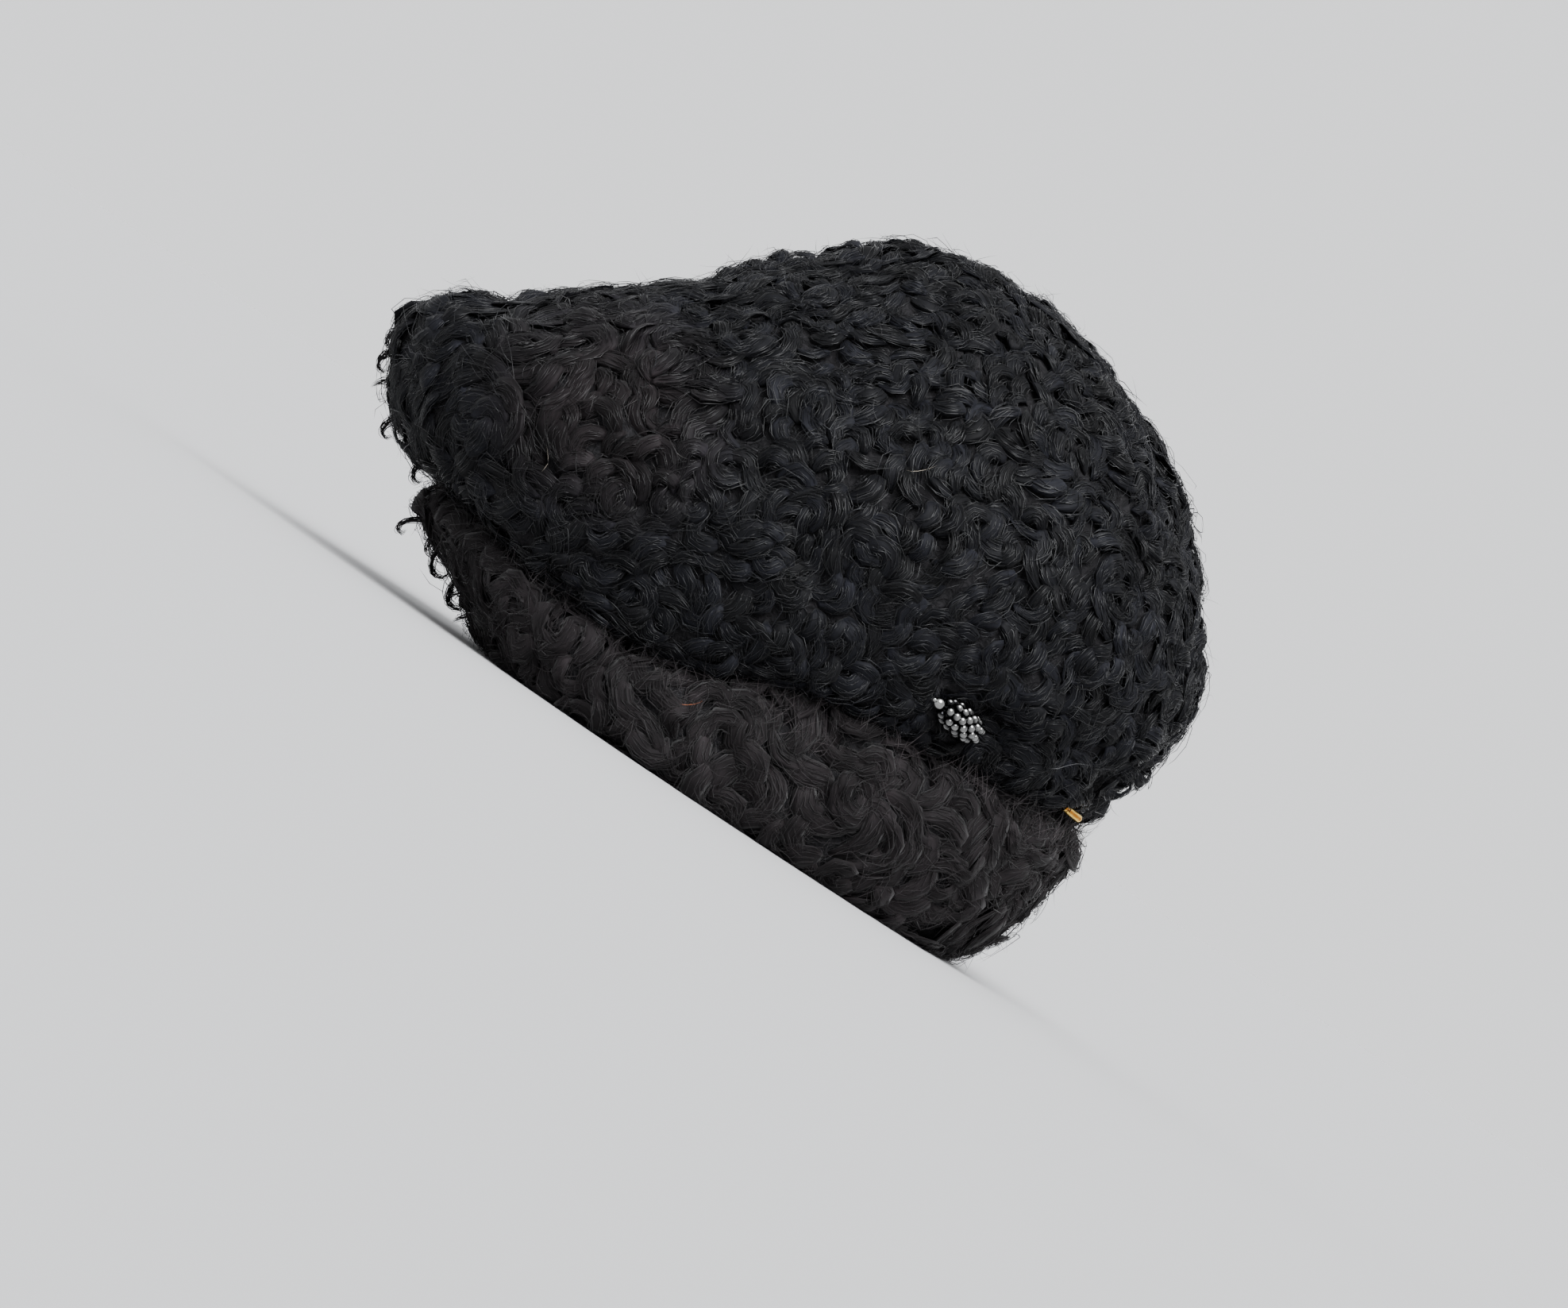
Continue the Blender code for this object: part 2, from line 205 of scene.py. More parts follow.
def sow(wool, spacing_at, is_free):
    """Roots scattered evenly over the ground, as far apart as the spacing there says."""
    picks = random.choice(len(wool.areas), CANDIDATES, p=wool.areas / wool.areas.sum())
    mixes = random.dirichlet((1, 1, 1), CANDIDATES)
    kept = np.zeros((CANDIDATES, 3))
    count = 0
    for pick, mix in zip(picks, mixes):
        place = blended(wool.points, wool.corners[pick], mix)
        gaps = kept[:count] - place
        if count and (gaps * gaps).sum(1).min() < (spacing_at(place) * MM) ** 2:
            continue
        if is_free(place, on_wool(wool, place)[1]):
            kept[count] = place
            count += 1
    return [Vector(place) for place in kept[:count]]


def line_on_wool(wool, start, heading, length, turn, stations):
    """A curved line along the ground: its points and the outward direction at each."""
    step = length / (stations - 1)
    place, out = on_wool(wool, start)
    points, outs = [], []
    for _ in range(stations):
        points.append(place)
        outs.append(out)
        heading = (heading - out * heading.dot(out)).normalized()
        heading.rotate(Quaternion(out, turn / (stations - 1)))
        place, out = on_wool(wool, place + heading * step)
    return points, outs


def line_through(wool, middle, heading, length, turn, stations):
    """The same kind of line, laid both ways from its middle."""
    half = stations // 2 + 1
    ahead, ahead_outs = line_on_wool(wool, middle, heading, length / 2, turn / 2, half)
    behind, behind_outs = line_on_wool(wool, middle, -heading, length / 2, -turn / 2, half)
    return behind[:0:-1] + ahead, behind_outs[:0:-1] + ahead_outs


def unit(vectors):
    lengths = np.linalg.norm(vectors, axis=-1, keepdims=True)
    return vectors / np.maximum(lengths, SHORTEST)


# A lock arches up fast and comes down slowly, and rolls over more and more towards its tip.
ARCH_SKEW, ARCH_FULLNESS = 0.75, 0.8
ROOT_ROLL = 0.35


def lock_frames(points, outs, lift, sink, roll):
    """The raised line of each lock, and the ways across and up from it: (locks, stations, 3)."""
    share = np.linspace(0, 1, points.shape[1])
    rise = np.sin(np.pi * share**ARCH_SKEW) ** ARCH_FULLNESS
    middle = points + outs * (lift[:, None] * rise - sink[:, None])[..., None]
    along = unit(np.gradient(middle, axis=1))
    across = unit(np.cross(along, outs))
    up = unit(np.cross(across, along))
    turned = roll[:, None, None] * (ROOT_ROLL + share[None, :, None])
    side = across * np.cos(turned) + up * np.sin(turned)
    return middle, side, up * np.cos(turned) - across * np.sin(turned), share


BODY_SKEW, BODY_FULLNESS = 0.85, 0.6
THIN_END = 0.02
TOP_POINTS, UNDER_POINTS = 5, 1
UNDER_HEIGHT = -0.5


def body_of(share):
    """How full a lock is along its length: gathered at the skin and at its tip."""
    return np.clip(np.sin(np.pi * share**BODY_SKEW), THIN_END, 1) ** BODY_FULLNESS


def lock_bodies(frames, width, thick):
    """The body of each lock: a flat tube, crowned on top."""
    middle, side, up, share = frames
    spread = np.concatenate([np.linspace(-1, 1, TOP_POINTS), np.zeros(UNDER_POINTS)])
    height = np.sqrt(np.clip(1 - spread**2, 0, 1))
    height[TOP_POINTS:] = UNDER_HEIGHT
    body = body_of(share)[None, :, None]
    aside = width[:, None, None] * body * spread
    rings = middle[:, :, None] + side[:, :, None] * aside[..., None]
    over = thick[:, None, None] * np.sqrt(body) * height
    return rings + up[:, :, None] * over[..., None], spread


def between_stations(values, share):
    """Values along each lock, (locks, stations, n), read at other shares of its length."""
    place = share * (values.shape[1] - 1)
    low = np.minimum(place.astype(int), values.shape[1] - 2)
    rest = (place - low)[..., None]
    lock = np.arange(len(values))[:, None]
    return values[lock, low] * (1 - rest) + values[lock, low + 1] * rest


# The strands of one lock: where they lie on it, how they drift apart, and the few that run wild.
STRANDS = 14
STRAND_SPREAD, STRAND_SCATTER = 1.3, 0.12
STRAND_START, STRAND_END = (0, 0.25), (0.75, 1)
STRAND_TAPER = (0, 1, 1, 0.85, 0)
STRAND_HALF, STRAND_HALVES = 0.15 * MM, (0.7, 1.35)
STRAND_REACH = 2.0 * MM
STRAND_WAVES = (3, 7)
STRAND_DRIFT, STRAND_LIFT = 0.5, 0.4
STRAND_TOP, STRAND_DROP = 1.15, 0.9
WILD_SHARE = 0.22
WILD_DRIFT, WILD_BEND = 2.4 * MM, 1.5
WILD_RISE = 1.0 * MM


def lock_strands(frames, width, thick, loose):
    """Strands that lie over each lock's body from edge to edge. Some leave it and cross others."""
    middle, side, up, _ = frames
    owner = np.repeat(np.arange(len(width)), STRANDS)
    count = len(owner)
    spread = np.tile(np.linspace(-1, 1, STRANDS), len(width))
    spread = (spread + random.normal(0, STRAND_SCATTER, count)) * STRAND_SPREAD
    start = random.uniform(*STRAND_START, count)
    end = random.uniform(*STRAND_END, count)
    share = start[:, None] + (end - start)[:, None] * np.linspace(0, 1, len(STRAND_TAPER))
    body = body_of(share)
    scatter = loose[owner, None] * MM
    wild = loose[owner, None] * (random.uniform(0, 1, (count, 1)) < WILD_SHARE)
    wave = np.sin(share * random.uniform(*STRAND_WAVES, (count, 1)))
    drift = STRAND_DRIFT * scatter * random.normal(0, 1, (count, 1)) * wave
    drift = drift + wild * WILD_DRIFT * random.normal(0, 1, (count, 1)) * share**WILD_BEND
    stray = STRAND_LIFT * scatter * np.abs(random.normal(0, 1, (count, 1))) * share
    stray = stray + wild * WILD_RISE * np.abs(random.normal(0, 1, (count, 1))) * share
    aside = width[owner, None] * body * spread[:, None] + drift
    rounded = (STRAND_TOP - STRAND_DROP * spread**2)[:, None]
    over = thick[owner, None] * np.sqrt(body) * rounded + stray
    sideways = between_stations(side[owner], share)
    upward = between_stations(up[owner], share)
    line = between_stations(middle[owner], share)
    line = line + sideways * aside[..., None] + upward * over[..., None]
    line[:, -1] += unit(line[:, -1] - line[:, -2]) * random.uniform(0, STRAND_REACH, (count, 1))
    half = STRAND_HALF * np.array(STRAND_TAPER) * random.uniform(*STRAND_HALVES, (count, 1))
    corners = ((-1, 0), (0, 1), (1, 0))
    rings = [line + half[..., None] * (sideways * a + upward * b) for a, b in corners]
    return np.stack(rings, axis=2), share, owner


def joined_mesh(name, rings, uv, fields):
    """A mesh of closed tubes with pointed ends: rings and uv are (tubes, stations, sides, n)."""
    count, stations, sides, _ = rings.shape
    each = (stations - 2) * sides + 2
    ring = 1 + np.arange(each - 2).reshape(stations - 2, sides)
    after = np.roll(ring, -1, axis=1)
    root = np.stack([np.zeros(sides, int), after[0], ring[0]], axis=-1)
    quads = np.stack([ring[:-1], after[:-1], after[1:], ring[1:]], axis=-1)
    tip = np.stack([ring[-1], after[-1], np.full(sides, each - 1)], axis=-1)
    one = np.concatenate([root.ravel(), quads.ravel(), tip.ravel()])
    end_sizes = np.full(sides, root.shape[-1])
    sizes = np.concatenate([end_sizes, np.full((stations - 3) * sides, quads.shape[-1]), end_sizes])
    loops = (one[None] + np.arange(count)[:, None] * each).ravel()
    starts = np.cumsum(np.concatenate([[0], np.tile(sizes, count)[:-1]]))

    def by_point(values):
        ends = values[:, (0, -1)].mean(axis=2)
        body = values[:, 1:-1].reshape(count, each - 2, -1)
        return np.concatenate([ends[:, :1], body, ends[:, 1:]], axis=1).astype(np.float32)

    mesh = bpy.data.meshes.new(name)
    mesh.vertices.add(count * each)
    mesh.vertices.foreach_set("co", by_point(rings).ravel())
    mesh.loops.add(len(loops))
    mesh.loops.foreach_set("vertex_index", loops.astype(np.int32))
    mesh.polygons.add(len(starts))
    mesh.polygons.foreach_set("loop_start", starts.astype(np.int32))
    mesh.update(calc_edges=True)
    mesh.shade_smooth()
    layer = mesh.uv_layers.new(name="lock")
    layer.uv.foreach_set("vector", by_point(uv).reshape(-1, 2)[loops].ravel())
    for label, values in fields.items():
        field = mesh.attributes.new(label, "FLOAT", "POINT")
        full = np.broadcast_to(values, (count, stations, sides))
        field.data.foreach_set("value", by_point(full[..., None]).ravel())
    mesh.validate()
    return mesh


FADE_MIDDLE = np.array((0.0, -72, 92)) * MM
FADE_REACH = np.array((46.0, 40)) * MM
FADE_FULL = 1.15


def faded_at(points):
    """How brown the dye has gone here, from 0 to 1: most behind the brow, none at the back."""
    reach = (points - FADE_MIDDLE)[..., 1:] / FADE_REACH
    return np.clip(FADE_FULL - (reach * reach).sum(-1), 0, 1)


# Two large flat rings of wool lie on each side of the brow. Sizes are in millimetres.
Swirl = namedtuple("Swirl", "along up radius")
SWIRLS = [Swirl(-107, 62, 26), Swirl(-64, 116, 17)]
SWIRL_SIDE = 20 * MM
SWIRL_EYE = 7 * MM
SWIRL_HOLD, SWIRL_EDGE = 0.6, 3
SWIRL_TURN = math.radians(220)
SWIRL_FLAT = 0.7


def swirl_at(place):
    """The swirl that the place lies in, if any, and how strongly it is turned by it."""
    for swirl in SWIRLS:
        reach = math.hypot(place.y - swirl.along * MM, place.z - swirl.up * MM)
        reach = reach / (swirl.radius * MM)
        if reach < 1 and abs(place.x) > SWIRL_SIDE:
            return swirl, min(SWIRL_HOLD, SWIRL_EDGE * (1 - reach))
    return None, 0


def swirled(place, out, heading, length, turn, swirl, weight):
    """The heading and turn of a lock that lies in rings round the middle of its swirl."""
    arm = Vector((0, place.y - swirl.along * MM, place.z - swirl.up * MM))
    round_way = out.cross(arm).normalized()
    if not round_way.length:
        return heading, turn
    ring_turn = min(length / max(arm.length, SWIRL_EYE), SWIRL_TURN)
    return heading.lerp(round_way, weight).normalized(), turn + (ring_turn - turn) * weight


# The wool falls away from the crown's top, and swings to either side in wide and in narrow waves.
COMB_TOP = 24 * MM
COMB_SIDEWAYS, COMB_LENGTHWAYS, COMB_DOWN = 0.5, 0.4, -60 * MM
WIDE_SWING, NARROW_SWING = 21 * MM, 9 * MM
NARROW_SHARE, NARROW_AWAY = 0.5, Vector((7, 3, 1))
SWING = 1.6


def comb(place, out, wander):
    """The way that the wool is combed here."""
    lengthways = (place.y - COMB_TOP) * COMB_LENGTHWAYS
    heading = Vector((place.x * COMB_SIDEWAYS, lengthways, COMB_DOWN))
    heading = (heading - out * heading.dot(out)).normalized()
    narrow = NARROW_SHARE * noise.noise(place / NARROW_SWING + NARROW_AWAY)
    swing = noise.noise(place / WIDE_SWING) + narrow
    heading.rotate(Quaternion(out, math.radians(wander) * SWING * swing))
    return heading


# No curl stands under the pin's head or at its clutch, and those beside the head are pressed down.
PIN_HEAD = Vector((100.5, 72, 71)) * MM
CLUTCH_MIDDLE = Vector((33, 131, 65.5)) * MM
PIN_LINE = (CLUTCH_MIDDLE - PIN_HEAD).normalized()
PIN_BUNCH = (-4 * MM, 26 * MM)
PIN_CLEAR, CLUTCH_CLEAR = 6.2 * MM, 5 * MM
PIN_PRESS = 0.75


def near_pin(place, clear):
    """Whether the place is beside the pin's head and closer than this to the pin's line."""
    along = (place - PIN_HEAD).dot(PIN_LINE)
    aside = (place - PIN_HEAD - PIN_LINE * along).length
    return PIN_BUNCH[0] < along < PIN_BUNCH[1] and aside < clear


# Curls in millimetres and degrees, and how much one differs from the next.
Curl = namedtuple("Curl", "spacing length turn width thick lift sink wander loose")
CROWN_CURL = Curl(6.2, 18, 125, 3.2, 0.6, 3.0, 1.7, 85, 2.0)
BROW_CURL = Curl(7.2, 23, 110, 4.3, 0.6, 2.4, 1.5, 80, 2.1)
STATIONS = 7
HEADING_SPREAD, ROLL_SPREAD = 0.5, 17
LENGTH_RANGE, TURN_RANGE = (0.75, 1.25), (0.4, 1.3)
WIDTH_RANGE, THICK_RANGE, LIFT_RANGE = (0.75, 1.25), (0.8, 1.25), (0.7, 1.25)
SIDE_SIZE, SIDE_AWAY, SIDE_SPREAD = 26 * MM, Vector((3, 9, 4)), 0.12
LUMP_SHARE, LUMP_SIZE = 0.7, 13 * MM
LOCK_SHADE, OPEN_FULLNESS = 0.6, 0.6
MAP_RANGE = (0, 5)


def lock_line(wool, spot, out, curl):
    """The line that a lock follows on the ground, and how high its swirl lets it stand."""
    heading = comb(spot, out, curl.wander)
    heading.rotate(Quaternion(out, random.normal(0, HEADING_SPREAD)))
    length = curl.length * MM * random.uniform(*LENGTH_RANGE)
    side = noise.noise(spot / SIDE_SIZE + SIDE_AWAY)
    side = math.copysign(1, side + random.normal(0, SIDE_SPREAD))
    turn = math.radians(curl.turn) * side * random.uniform(*TURN_RANGE)
    swirl, weight = swirl_at(spot)
    if weight > 0:
        heading, turn = swirled(spot, out, heading, length, turn, swirl, weight)
    line, outs = line_through(wool, spot, heading, length, turn, STATIONS)
    return line, outs, 1 - SWIRL_FLAT * weight


def on_map(across, along):
    """Places on the wool's own map, which is as large as the wool: across a lock and along it."""
    return np.stack(np.broadcast_arrays(across, along), axis=-1)


def open_at(share):
    """How open a lock lies: 0 at its root and tip, which others shade, and 1 in its middle. Where
    it is low, the wool's colour is painted lighter, as painted light in that shade.
    """
    return np.clip(np.sin(np.pi * share), 0, 1) ** OPEN_FULLNESS


def grow(wool, roots, curl_at, fade_at):
    """Locks from every root: their bodies, their strands, and the lock that each strand is of."""
    points, outs, sizes = [], [], []
    for root in roots:
        curl = curl_at(root)
        spot, out = on_wool(wool, root)
        line, line_outs, flat = lock_line(wool, spot, out, curl)
        points.append(line)
        outs.append(line_outs)
        near = 1 - PIN_PRESS * near_pin(spot, 2 * PIN_CLEAR)
        lump = 1 + LUMP_SHARE * noise.noise(spot / LUMP_SIZE)
        width = curl.width * random.uniform(*WIDTH_RANGE)
        thick = curl.thick * random.uniform(*THICK_RANGE)
        lift = curl.lift * random.uniform(*LIFT_RANGE) * near * flat * lump
        roll = math.radians(random.normal(0, ROLL_SPREAD))
        shade = random.uniform(0, 1)
        sizes.append((width, thick, lift, curl.sink, curl.loose, roll, shade))
    width, thick, lift, sink, loose, roll, shade = np.array(sizes).T
    width, thick = width * MM, thick * MM
    frames = lock_frames(np.array(points), np.array(outs), lift * MM, sink * MM, roll)
    reach = np.array([curl_at(root).length for root in roots]) * MM

    bodies, spread = lock_bodies(frames, width, thick)
    start = random.uniform(*MAP_RANGE, (len(width), 1, 1))
    share = frames[3]
    across = spread * width[:, None, None] + start
    body_uv = on_map(across, share[:, None] * reach[:, None, None] + start)
    body_fields = {
        "shade": shade[:, None, None],
        "depth": open_at(share)[None, :, None],
        "fade": fade_at(bodies),
    }

    strands, share, owner = lock_strands(frames, width, thick, loose)
    start = random.uniform(*MAP_RANGE, (len(owner), 1, 1))
    across = np.arange(strands.shape[2]) * STRAND_HALF + start
    strand_uv = on_map(across, share[..., None] * reach[owner, None, None] + start)
    shade = shade[owner] * LOCK_SHADE + random.uniform(0, 1 - LOCK_SHADE, len(owner))
    strand_fields = {
        "shade": shade[:, None, None],
        "depth": open_at(share)[..., None],
        "fade": fade_at(strands),
    }
    return (bodies, body_uv, body_fields), (strands, strand_uv, strand_fields), owner


def lay_locks(name, look, grown, part):
    """Makes the piece with the locks that part picks."""
    rings, uv, fields = grown
    full = rings.shape[:3]
    picked = {label: np.broadcast_to(values, full)[part] for label, values in fields.items()}
    mesh = joined_mesh(name, rings[part], uv[part], picked)
    mesh.materials.append(look)
    new_object(name, mesh)


def add_field(nodes, label):
    made = nodes.new("ShaderNodeAttribute")
    made.attribute_name = label
    return made.outputs["Fac"]


def add_range(nodes, links, value, low, high):
    made = nodes.new("ShaderNodeMapRange")
    made.inputs["To Min"].default_value = low
    made.inputs["To Max"].default_value = high
    links.new(value, made.inputs["Value"])
    return made.outputs["Result"]


# The numbers of the Mix node's sockets for colours, which share their names with others.
MIX_SHARE, MIX_FIRST, MIX_SECOND, MIX_RESULT = 0, 6, 7, 2
HAIRS_A_METRE = (1300, 90, 1)
SMOOTHER, ROUGHER = -0.08, 0.12


def wool_look(name, black, blue, brown, roughness, gloss, sheen):
    """Curled wool: fine hairs along each lock, dye that varies and fades, and painted light that
    lightens the shaded roots and tips of the locks.
    """
    made, nodes, links, shader = new_material(name)

    def mixed(share, first, second, way="MIX"):
        mix = nodes.new("ShaderNodeMix")
        mix.data_type, mix.blend_type = "RGBA", way
        for value, socket in ((share, MIX_SHARE), (first, MIX_FIRST), (second, MIX_SECOND)):
            if isinstance(value, bpy.types.NodeSocket):
                links.new(value, mix.inputs[socket])
            elif socket == MIX_SHARE:
                mix.inputs[socket].default_value = value
            else:
                mix.inputs[socket].default_value = (*value, 1)
        return mix.outputs[MIX_RESULT]

    def toned(colour, value, low, high, start, end):
        tone = add_ramp(nodes, links, value, (low,) * 3, (high,) * 3, start, end)
        return mixed(1.0, colour, tone, "MULTIPLY")

    uv = nodes.new("ShaderNodeUVMap")
    uv.uv_map = "lock"
    stretch = nodes.new("ShaderNodeMapping")
    stretch.inputs["Scale"].default_value = HAIRS_A_METRE
    links.new(uv.outputs["UV"], stretch.inputs["Vector"])
    hairs = add_noise(nodes, links, stretch.outputs["Vector"], scale=1, detail=3)
    place = nodes.new("ShaderNodeTexCoord").outputs["Object"]
    patches = add_noise(nodes, links, place, scale=75, detail=2)

    colour = mixed(add_field(nodes, "shade"), black, blue)
    colour = mixed(add_field(nodes, "fade"), colour, brown)
    colour = toned(colour, hairs, low=0.6, high=1.3, start=0.32, end=0.68)
    # Painted light: roots and tips, where other locks shade them, are painted up to 2.6 times
    # lighter, so the hollows between the curls show less dark.
    colour = toned(colour, add_field(nodes, "depth"), low=2.6, high=1, start=0.1, end=0.85)
    colour = toned(colour, patches, low=0.6, high=1.35, start=0.35, end=0.65)
    links.new(colour, shader.inputs["Base Color"])
    rough = add_range(nodes, links, hairs, roughness + SMOOTHER, roughness + ROUGHER)
    links.new(rough, shader.inputs["Roughness"])
    shader.inputs["Specular IOR Level"].default_value = gloss
    shader.inputs["Sheen Weight"].default_value = sheen
    shader.inputs["Sheen Roughness"].default_value = 0.45
    add_bump(nodes, links, shader, hairs, strength=0.55, distance=0.35 * MM)
    return made


crown_wool = wool_of("crown", crown_is_outside)
cuff_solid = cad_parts["cuff"].data
cuff_tree = BVHTree.FromPolygons(
    [v.co for v in cuff_solid.vertices], [tuple(p.vertices) for p in cuff_solid.polygons]
)
CUFF_COVER = 16 * MM
VALLEY_GAP, VALLEY_TOP = 2 * MM, 60 * MM
BROW_START, BROW_CHANGE = -62 * MM, 26 * MM


def crown_curl(place):
    """The wool is longer and lies flatter on the drawn-forward brow."""
    share = min(1.0, max(0.0, (BROW_START - place.y) / BROW_CHANGE))
    return Curl(*(a + (b - a) * share for a, b in zip(CROWN_CURL, BROW_CURL)))


def crown_is_free(place, out):
    """Not in the valley behind the cuff, nor under the pin's head or round its clutch."""
    if cuff_tree.ray_cast(place, out, CUFF_COVER)[0]:
        return False
    if cuff_tree.find_nearest(place)[3] < VALLEY_GAP and place.z < VALLEY_TOP:
        return False
    return not near_pin(place, PIN_CLEAR) and (place - CLUTCH_MIDDLE).length > CLUTCH_CLEAR


crown_roots = sow(crown_wool, lambda place: crown_curl(place).spacing, crown_is_free)
crown_locks, crown_strands, crown_owner = grow(crown_wool, crown_roots, crown_curl, faded_at)
CROWN_DYE = (0.0012, 0.0012, 0.0014), (0.0030, 0.0032, 0.0048), (0.0046, 0.0034, 0.0038)
CROWN_BED = (0.0019, 0.0019, 0.0022), (0.0040, 0.0042, 0.0058), (0.0058, 0.0046, 0.0050)
glossy_hair = wool_look("glossy_hair", *CROWN_DYE, roughness=0.24, gloss=0.2, sheen=0.015)
crown_bed = wool_look("crown_bed", *CROWN_BED, roughness=0.60, gloss=0.06, sheen=0.015)
BROW_END = -30 * MM
SIDE_START = 45 * MM
root_x = np.array([root.x for root in crown_roots])
root_y = np.array([root.y for root in crown_roots])
CROWN_PARTS = {
    "brow": root_y < BROW_END,
    "left": (root_y >= BROW_END) & (root_x >= SIDE_START),
    "top": (root_y >= BROW_END) & (np.abs(root_x) < SIDE_START),
    "right": (root_y >= BROW_END) & (root_x <= -SIDE_START),
}
for label, part in CROWN_PARTS.items():
    lay_locks(f"crown_locks_{label}", crown_bed, crown_locks, part)
    lay_locks(f"crown_hairs_{label}", glossy_hair, crown_strands, part[crown_owner])

# ---- Cuff: the skin ----------------------------------------------------------------------------
# The lower edge of the pelt is folded up outside into a thick soft roll, narrow over the brow and
# deep at the nape. The fold is what the hat rests on.
CUFF_UNDERWOOL_DEPTH = 0.6 * UNDERWOOL_DEPTH
FACES_OUT, FACES_UP, FACES_DOWN = 0.1, 0.5, -0.9


def cuff_is_outside(face):
    reach = face.calc_center_median() - HAT_MIDDLE
    reach.z = 0
    outward = face.normal.dot(reach.normalized())
    return outward > FACES_OUT or face.normal.z > FACES_UP or face.normal.z < FACES_DOWN


cuff_skin = skin_piece("cuff_skin", "cuff", cuff_is_outside, CUFF_UNDERWOOL_DEPTH)
for vert in cuff_skin.data.vertices:
    vert.co.z = max(vert.co.z, 0)
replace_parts(cuff_skin, "cuff")

# ---- Cuff: the curls ---------------------------------------------------------------------------
# The cuff's wool is older and browner, longer and softer: wide open rings that have lost their
# gloss. None grows under the fold that the hat rests on.
CUFF_CURL = Curl(7.3, 25, 150, 4.2, 0.65, 2.9, 1.5, 120, 2.7)
CUFF_FADE = 0.85
CUFF_DYE = (0.0026, 0.0024, 0.0026), (0.0039, 0.0037, 0.0044), (0.0053, 0.0041, 0.0045)
CUFF_BED = (0.0034, 0.0032, 0.0034), (0.0050, 0.0048, 0.0057), (0.0066, 0.0053, 0.0057)
UNDERSIDE = -0.97
FLOOR_ROOM = 0.3 * MM


def cuff_grows(face):
    return cuff_is_outside(face) and face.normal.z > UNDERSIDE


def anywhere(place, out):
    return True


def off_floor(rings):
    """Wool that the surface under the hat pushes up, so that it lies on it."""
    np.maximum(rings[..., 2], FLOOR_ROOM, out=rings[..., 2])


cuff_wool = wool_of("cuff", cuff_grows)
cuff_roots = sow(cuff_wool, lambda place: CUFF_CURL.spacing, anywhere)
cuff_locks, cuff_strands, cuff_owner = grow(
    cuff_wool,
    cuff_roots,
    lambda place: CUFF_CURL,
    lambda points: np.full(points.shape[:3], CUFF_FADE),
)
off_floor(cuff_locks[0])
off_floor(cuff_strands[0])
soft_hair = wool_look("soft_hair", *CUFF_DYE, roughness=0.42, gloss=0.095, sheen=0.04)
cuff_bed = wool_look("cuff_bed", *CUFF_BED, roughness=0.65, gloss=0.06, sheen=0.04)
everywhere = np.full(len(cuff_roots), True)
lay_locks("cuff_locks", cuff_bed, cuff_locks, everywhere)
lay_locks("cuff_hairs", soft_hair, cuff_strands, everywhere[cuff_owner])

# ---- Loose hairs -------------------------------------------------------------------------------
# Fine hairs have worked loose all over and stand a few millimetres off the curls, most of all on
# the soft cuff. Their lengths, half widths and rises are in millimetres.
Fly = namedtuple("Fly", "count length half rise")
CROWN_FLY = Fly(1600, 13, 0.09, 5.0)
CUFF_FLY = Fly(1100, 12, 0.085, 4.6)
CROWN_FLY_FADE = 0.1
FLY_LIFT = 1.2 * MM
FLY_WANDER, FLY_TURN = 130, 120
FLY_LENGTHS, FLY_RISES, FLY_HALVES = (0.5, 1.4), (0.1, 1.6), (0.7, 1.4)
HAIR_STATIONS = 6
HAIR_BEND = 1.6
HAIR_TAPER = 0.6
HAIR_CORNERS = ((-1, 0), (0.5, 0.87), (0.5, -0.87))
HAIR_MAP_LENGTH = 0.01


def hairs_along(points, outs, half, rise, lift):
    """Thin closed strands along lines on the wool that rise off it towards their tips."""
    share = np.linspace(0, 1, points.shape[1])
    line = points + outs * (lift + rise[:, None] * share**HAIR_BEND)[..., None]
    along = unit(np.gradient(line, axis=1))
    side = unit(np.cross(along, outs))
    up = np.cross(side, along)
    width = half[:, None, None] * np.sin(np.pi * share**HAIR_TAPER)[None, :, None]
    rings = [line + width * (side * a + up * b) for a, b in HAIR_CORNERS]
    return np.stack(rings, axis=2), share


def hair_piece(name, look, rings, share, shade, fade):
    start = random.uniform(*MAP_RANGE, (len(rings), 1, 1))
    across = start + np.zeros((1, 1, len(HAIR_CORNERS)))
    uv = on_map(across, start + HAIR_MAP_LENGTH * share[None, :, None])
    mesh = joined_mesh(name, rings, uv, {"shade": shade, "depth": 1.0, "fade": fade})
    mesh.materials.append(look)
    new_object(name, mesh)


def fly_aways(name, look, wool, fly, fade, is_free):
    picks = random.choice(len(wool.areas), fly.count, p=wool.areas / wool.areas.sum())
    points, outs = [], []
    for pick in picks:
        corners = wool.corners[pick]
        place = sum((wool.points[c] for c in corners), Vector()) / len(corners)
        spot, out = on_wool(wool, place)
        if not is_free(spot, out):
            continue
        heading = comb(spot, out, FLY_WANDER)
        turn = math.radians(random.normal(0, FLY_TURN))
        length = fly.length * MM * random.uniform(*FLY_LENGTHS)
        line, line_outs = line_on_wool(wool, spot, heading, length, turn, HAIR_STATIONS)
        points.append(line)
        outs.append(line_outs)
    count = len(points)
    rise = fly.rise * MM * random.uniform(*FLY_RISES, count)
    half = fly.half * MM * random.uniform(*FLY_HALVES, count)
    rings, share = hairs_along(np.array(points), np.array(outs), half, rise, FLY_LIFT)
    off_floor(rings)
    hair_piece(name, look, rings, share, random.uniform(0, 1, (count, 1, 1)), fade)


fly_aways(
    "crown_loose_hairs", glossy_hair, crown_wool, CROWN_FLY, CROWN_FLY_FADE, crown_is_free
)
fly_aways("cuff_loose_hairs", soft_hair, cuff_wool, CUFF_FLY, CUFF_FADE, anywhere)
